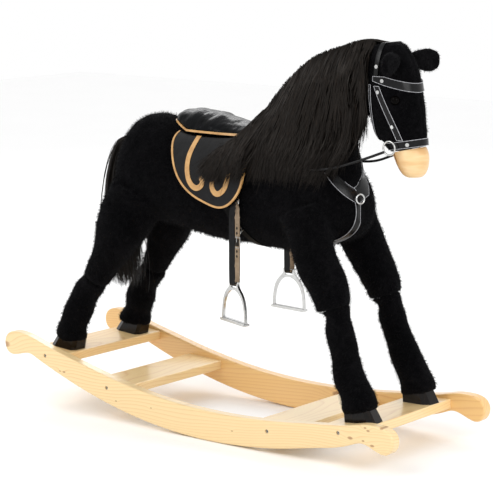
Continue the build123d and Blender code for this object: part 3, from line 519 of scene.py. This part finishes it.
# --------------------------------------------------------------- plush body
def seam_body(p):
    """body: shallow hollows where the legs are sewn on and along the belly seam"""
    x, y, z = p
    d = -0.0016 * math.exp(-((y) / 0.004) ** 2) if z < 0.42 else 0.0
    d += -0.0012 * math.exp(-((x - 0.105) / 0.012) ** 2) * (1 if z < 0.56 else 0)
    return d


VOX = 0.0055
body = skin("plush_body", ["torso", "neck", "front_upper_leg_left", "front_upper_leg_right", "rear_upper_leg_left", "rear_upper_leg_right"],
            VOX, 7, PLUSH)
lumps(body, 0.0028, 0.075, 3.0, seam_body)
lumps(body, 0.0009, 0.018, 9.0)
pad_node("body", ["torso", "neck", "front_upper_leg_left", "front_upper_leg_right", "rear_upper_leg_left", "rear_upper_leg_right"], body)


def seam_head(p):
    x, y, z = p
    d = -0.0018 * math.exp(-(y / 0.003) ** 2)
    r = math.hypot(x - (0.408 + DX), z - 0.681)
    return d - 0.0022 * math.exp(-(r / 0.013) ** 2)


head = skin("plush_head", ["head"], 0.0038, 3, PLUSH)
lumps(head, 0.0016, 0.04, 5.0, seam_head)
pad_node("head", ["head"], head)
ears = []
for side in ("left", "right"):
    ear = skin("plush_ear_" + side, ["ear_" + side], 0.003, 4, PLUSH)
    s = 1 if side == "left" else -1

    def hollow(p, s=s):
        # the open front of the ear cup
        u = (abs(p[1]) - 0.070) / 0.022
        w = (p[2] - 0.749) / 0.011
        return -0.006 * math.exp(-u * u - w * w) if p[0] > 0.403 + DX else 0.0

    lumps(ear, 0.001, 0.02, 2.0, hollow)
    pad_node("ear", ["ear_" + side], ear)
    ears.append(ear)
lower = []
for end in ("front", "rear"):
    for side in ("left", "right"):
        n = end + "_lower_leg_" + side
        leg = skin("plush_" + n, [n], 0.0042, 4, PLUSH)
        lumps(leg, 0.0024, 0.045, 7.0 + len(lower))
        pad_node(n, [n], leg)
        lower.append(leg)

density = 95000
for i, (o, dens, ln) in enumerate([(body, density, 0.0065), (head, density * 1.2, 0.0045)] + [(e, density * 1.3, 0.004) for e in ears]
                                  + [(l, density, 0.006) for l in lower]):
    f = pile("pile_" + o.name, o, dens, ln, 0.0008, 100 + i)
    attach(f, "horse")

# ---------------------------------------------------------------- muzzle, eyes
for n in ("muzzle_upper", "muzzle_lower"):
    dress(n, MUZZLE)
EYE = Tree("eye", (0.004, 0.003, 0.003), 0.06)
EYE.link(EYE.ramp(EYE.noise(EYE.coords(), 200), [(0.3, (0.0008, 0.0006, 0.0005)), (0.7, (0.0022, 0.0015, 0.0012))]),
         EYE.bsdf.inputs["Base Color"])
EYE.set("Specular IOR Level", 0.035)
dress("eyes", EYE.mat)


# ---------------------------------------------------------------------- hair
def catmull(pts, n):
    pts = [np.array(p, float) for p in pts]
    p = [2 * pts[0] - pts[1]] + pts + [2 * pts[-1] - pts[-2]]
    out = []
    segs = len(pts) - 1
    for k in range(n):
        t = k / (n - 1) * segs
        i = min(int(t), segs - 1)
        f = t - i
        a, b, c, d = p[i], p[i + 1], p[i + 2], p[i + 3]
        out.append(0.5 * (2 * b + (c - a) * f + (2 * a - 5 * b + 4 * c - d) * f * f + (3 * b - a - 3 * c + d) * f ** 3))
    return out


def strands(name, paths, width, mat, seed):
    """flat tapering locks along given centre lines"""
    rng = np.random.RandomState(seed)
    verts, faces = [], []
    for path, out in paths:
        pts = np.array(path)
        tang = np.gradient(pts, axis=0)
        tang /= np.linalg.norm(tang, axis=1)[:, None] + 1e-9
        o = np.array(out) + rng.normal(0, 0.35, 3)
        side = np.cross(tang, o[None, :])
        side /= np.linalg.norm(side, axis=1)[:, None] + 1e-9
        w = width * (0.6 + 0.8 * rng.rand())
        m = len(pts)
        k = len(verts)
        for i in range(m):
            s = i / (m - 1)
            ww = w * (1 - 0.85 * s ** 3) * (0.5 + 0.5 * min(1, s * 8))
            verts.append(pts[i] - side[i] * ww / 2)
            verts.append(pts[i] + side[i] * ww / 2)
        faces += [(k + 2 * i, k + 2 * i + 1, k + 2 * i + 3, k + 2 * i + 2) for i in range(m - 1)]
    return new_object(name, verts, faces, mat)


CREST = [(0.052, 0.572), (0.075, 0.583), (0.116, 0.646), (0.170, 0.703), (0.229, 0.742), (0.300, 0.768), (0.335, 0.783), (0.362, 0.790)]
TIPS = [(-0.006, 0.522), (0.006, 0.510), (0.042, 0.510), (0.100, 0.515), (0.175, 0.520), (0.248, 0.522), (0.292, 0.548), (0.330, 0.620)]
TOP_OUT = [(-0.3, 0.95), (-0.6, 0.8), (-0.75, 0.66), (-0.66, 0.75), (-0.5, 0.87), (-0.45, 0.8), (-0.5, 0.5), (-0.5, 0.2)]
ground = tree_of([body, head, ears[1], NODES["saddle_flap_right"], NODES["saddle_piping"], NODES["reins"]])


def mane_paths(count, seed, near=True):
    rng = np.random.RandomState(seed)
    out = []
    n = 13
    cr, tp, to = catmull(CREST, 200), catmull(TIPS, 200), catmull(TOP_OUT, 200)
    for _ in range(count):
        t = rng.rand() ** 0.9
        k = min(199, int(t * 199))
        layer = rng.rand()
        yr = rng.uniform(-0.012, 0.010)
        root = np.array([cr[k][0] + DX, yr, cr[k][1] - 0.004])
        k2 = min(199, max(0, int(k + rng.normal(0, 9))))
        ln = 0.80 + 0.24 * rng.rand() if rng.rand() < 0.8 else 0.45 + 0.4 * rng.rand()
        tip = np.array([tp[k2][0] + DX, 0, tp[k2][1]])
        tip = np.array([root[0] + (tip[0] - root[0]) * ln, 0, root[2] + (tip[2] - root[2]) * ln])
        tip[0] += rng.normal(0, 0.008)
        tip[2] += rng.normal(0, 0.008)
        nrm = np.array([to[k][0], 0, to[k][1]])
        rise = 0.008 + 0.012 * layer
        p0 = root - nrm * 0.006
        p1 = root + nrm * rise + np.array([-0.006, -0.010, 0])
        pts = [p0, p1]
        phase = rng.uniform(0, 6.28)
        m = n - 2
        offs = 0.0025 + 0.013 * layer
        last_y = p1[1]
        for j in range(1, m + 1):
            s = j / m
            x = p1[0] + (tip[0] - p1[0]) * (0.25 * s + 0.75 * s ** 1.35) + 0.0025 * math.sin(phase + 5 * s)
            z = p1[2] + (tip[2] - p1[2]) * s
            ys = []
            for dz in (-0.011, -0.004, 0.004, 0.011):
                hit = ground.ray_cast(Vector((x, -0.4, z + dz)), Vector((0, 1, 0)), 0.45)
                if hit[0] is not None and hit[0].y < 0.03:
                    ys.append(hit[0].y)
            if ys:
                y = min(ys) - offs - 0.004 * math.sin(phase * 2 + 7 * s) ** 2
            else:
                y = last_y - 0.004
            y = min(y, last_y + 0.006)
            y = max(y, last_y - 0.030)
            pts.append(np.array([x, y, z]))
            last_y = y
        arr = np.array(pts)
        for _s in range(3):
            arr[1:-1, 1] = (arr[:-2, 1] + 2 * arr[1:-1, 1] + arr[2:, 1]) / 4
        out.append((arr, (0.25, -1.0, 0.35)))
    return out


mane = strands("mane_hair", mane_paths(6500, 11), 0.0019, HAIR, 21)
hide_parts("mane")
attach(mane, "horse")

TAIL = [(-0.268, 0, 0.552), (-0.292, 0, 0.556), (-0.306, 0, 0.530), (-0.314, 0, 0.480), (-0.313, 0, 0.420), (-0.306, 0, 0.350),
        (-0.300, 0, 0.290), (-0.297, 0, 0.238)]
TAIL_R = [0.004, 0.011, 0.016, 0.021, 0.026, 0.030, 0.030, 0.021]


def tail_paths(count, seed):
    rng = np.random.RandomState(seed)
    out = []
    for _ in range(count):
        a = rng.uniform(0, 2 * math.pi)
        r = math.sqrt(rng.rand())
        wild = rng.rand() < 0.08
        end = 0.72 + 0.28 * rng.rand() ** 0.5
        n = 14
        ctrl = []
        drift = rng.normal(0, 0.004, 3) * (2.5 if wild else 1)
        for i, ((x, y, z), q) in enumerate(zip(TAIL, TAIL_R)):
            f = i / (len(TAIL) - 1)
            q = q * (1.25 if wild else 1.0)
            ctrl.append((x + DX + math.cos(a) * q * r + drift[0] * f * 2, math.sin(a) * q * r * 1.15 + drift[1] * f * 2, z + drift[2] * f))
        pts = catmull(ctrl, 40)
        last = int(39 * end)
        idx = np.linspace(0, last, n).astype(int)
        out.append((np.array([pts[j] for j in idx]), (math.cos(a), math.sin(a), 0.1)))
    return out


tail = strands("tail_hair", tail_paths(1900, 31), 0.0019, HAIR, 41)
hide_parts("tail")
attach(tail, "horse")


# -------------------------------------------------------------------- saddle
def seat_shape(p):
    x, y, z = p
    top = max(0.0, min(1.0, (z - 0.600) / 0.02))
    d = 0.0011 * math.sin(x * 120 + y * 35 + 0.8 * math.sin(y * 60)) * top * math.exp(-((x + 0.03) / 0.075) ** 2)
    d += 0.0006 * math.sin(x * 230 - y * 50) * top * math.exp(-((x + 0.06) / 0.06) ** 2)
    return d


seat = skin("seat_cushion", ["saddle_seat"], 0.003, 2, SEAT)
lumps(seat, 0.0016, 0.03, 4.0, seat_shape)
pad_node("seat", ["saddle_seat"], seat)
pads = skin("saddle_padding", ["saddle_pads"], 0.005, 2, PLUSH)
pad_node("pads", ["saddle_pads"], pads)


# ------------------------------------------------------ strap edges, buckles, punched holes
def wire(name, points_list, radius, mat):
    cu = bpy.data.curves.new(name, "CURVE")
    cu.dimensions = "3D"
    cu.bevel_depth = radius
    cu.bevel_resolution = 1
    for pts, closed in points_list:
        sp = cu.splines.new("POLY")
        sp.points.add(len(pts) - 1)
        for k, p in enumerate(pts):
            sp.points[k].co = (*p, 1)
        sp.use_cyclic_u = closed
    o = bpy.data.objects.new(name, cu)
    dg = bpy.context.evaluated_depsgraph_get()
    bpy.context.scene.collection.objects.link(o)
    dg.update()
    me = bpy.data.meshes.new_from_object(o.evaluated_get(dg))
    bpy.data.objects.remove(o)
    w = bpy.data.objects.new(name, me)
    bpy.context.scene.collection.objects.link(w)
    me.materials.clear()
    me.materials.append(mat)
    me.polygons.foreach_set("use_smooth", [True] * len(me.polygons))
    return w


def rim_edges(node, away, sharp=40):
    """long outer edges of a strap: sharp edges whose faces include one turned away from the body's middle"""
    bm = bmesh.new()
    bm.from_mesh(NODES[node].data)
    bmesh.ops.remove_doubles(bm, verts=bm.verts, dist=0.00005)
    bm.normal_update()
    chains = []
    for e in bm.edges:
        if len(e.link_faces) != 2:
            continue
        a, b = e.link_faces
        if a.normal.angle(b.normal, 0) < math.radians(sharp):
            continue
        mid = (e.verts[0].co + e.verts[1].co) / 2
        outward = away(mid)
        if max(a.normal.dot(outward), b.normal.dot(outward)) < 0.75:
            continue
        chains.append(([tuple(e.verts[0].co), tuple(e.verts[1].co)], False))
    bm.free()
    return chains


HEAD_AXIS = [((0.366 + DX), 0.783), ((0.384 + DX), 0.680), ((0.4145 + DX), 0.587)]


def from_head(p):
    t = min(1, max(0, (0.783 - p.z) / 0.196))
    cx = 0.366 + DX + 0.048 * t ** 1.4
    return Vector((p.x - cx, p.y * 1.15, 0)).normalized()


def from_body(p):
    return Vector((0.0 if p.x < 0.24 else (p.x - 0.24) * 1.3, p.y, (p.z - 0.485) * 0.7)).normalized()


lines = []
for n, away in (("browband", from_head), ("cheekpieces", from_head), ("noseband", from_head), ("throatlatch", from_head), ("breast_straps", from_body)):
    lines += rim_edges(n, away)
if lines:
    edge = wire("strap_edge_lines", lines, 0.00055, EDGE.mat)
    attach(edge, "horse")

# buckle and punched holes on each stirrup leather's run beside the horse; the holes are flat discs coloured in painted
# shade, and the same dark colour fills a patch inside the buckle frame
HOLE = Tree("punched_hole", (0.02, 0.015, 0.01), 0.8)
HOLE.link(HOLE.ramp(HOLE.noise(HOLE.coords(), 800), [(0.3, (0.01, 0.007, 0.005)), (0.7, (0.04, 0.03, 0.02))]), HOLE.bsdf.inputs["Base Color"])
for side, s in (("left", 1), ("right", -1)):
    gx, y = 0.066 + DX, s * (0.089 - 0.0066)
    ring = []
    for a, b in ((-1, -1), (1, -1), (1, 1), (-1, 1)):
        for k in range(4):
            t = (k / 3) * math.pi / 2 + {(-1, -1): math.pi, (1, -1): 1.5 * math.pi, (1, 1): 0.0, (-1, 1): 0.5 * math.pi}[(a, b)]
            ring.append((gx + a * 0.0062 + 0.0022 * math.cos(t), y, 0.384 + b * 0.0085 + 0.0022 * math.sin(t)))
    frame_wire = wire("leather_buckle_" + side, [(ring, True), ([(gx, y, 0.384), (gx, y + s * 0.0006, 0.396)], False)], 0.0009, NICKEL)
    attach(frame_wire, "leather_" + side)
    verts, faces = [], []
    for hz in (0.356, 0.366, 0.402, 0.412, 0.422):
        k = len(verts)
        for j in range(12):
            t = j / 12 * 2 * math.pi
            verts.append((gx + 0.0023 * math.cos(t), s * (0.089 - 0.00705), hz + 0.0029 * math.sin(t)))
        faces.append(tuple(range(k, k + 12)))
    faces.append((len(verts), len(verts) + 1, len(verts) + 2, len(verts) + 3))
    verts += [(gx + a * 0.0055, s * (0.089 - 0.00702), 0.384 + b * 0.0078) for a, b in ((-1, -1), (1, -1), (1, 1), (-1, 1))]
    punched = new_object("leather_holes_" + side, verts, faces, HOLE.mat, False)
    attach(punched, "leather_" + side)

# --------------------------------------------------------------------- stage
floor = new_object("floor", [(-6, -6, -0.0005), (6, -6, -0.0005), (6, 6, -0.0005), (-6, 6, -0.0005)], [(0, 1, 2, 3)], None, False)
ft = Tree("floor", (0.97, 0.97, 0.97), 0.8)
ft.link(ft.ramp(ft.noise(ft.coords(), 3.0), [(0.3, (0.965, 0.965, 0.965)), (0.7, (0.975, 0.975, 0.975))]), ft.bsdf.inputs["Base Color"])
floor.data.materials.append(ft.mat)

scene = bpy.context.scene
world = bpy.data.worlds.new("studio")
world.use_nodes = True
world.node_tree.nodes["Background"].inputs[0].default_value = (1, 1, 1, 1)
world.node_tree.nodes["Background"].inputs[1].default_value = 1.0
scene.world = world


def area(name, loc, target, size, power):
    li = bpy.data.lights.new(name, "AREA")
    li.shape = "RECTANGLE"
    li.size, li.size_y = size
    li.energy = power
    o = bpy.data.objects.new(name, li)
    o.location = loc
    o.rotation_mode = "QUATERNION"
    o.rotation_quaternion = (Vector(target) - Vector(loc)).to_track_quat("-Z", "Y")
    scene.collection.objects.link(o)


area("key", (-0.6, -2.6, 2.6), (0, 0, 0.4), (1.6, 1.6), 26)
area("front", (3.0, -1.0, 1.8), (0.1, 0, 0.4), (1.4, 1.4), 24)
area("back", (-1.8, 2.4, 2.4), (0, 0, 0.4), (1.8, 1.2), 26)

cam = bpy.data.cameras.new("camera")
cam.lens = 151.7
cam.sensor_width = 36
cam_o = bpy.data.objects.new("camera", cam)
scene.collection.objects.link(cam_o)
az, el = math.radians(38.39), math.radians(9.46)
back = Vector((math.sin(az) * math.cos(el), -math.cos(az) * math.cos(el), math.sin(el)))
cam_o.location = (2.579 + DX, -3.223, 1.058)
cam_o.rotation_mode = "QUATERNION"
cam_o.rotation_quaternion = (-back).to_track_quat("-Z", "Y")
cam.clip_start, cam.clip_end = 0.1, 50
scene.camera = cam_o
scene.view_settings.view_transform = "Standard"
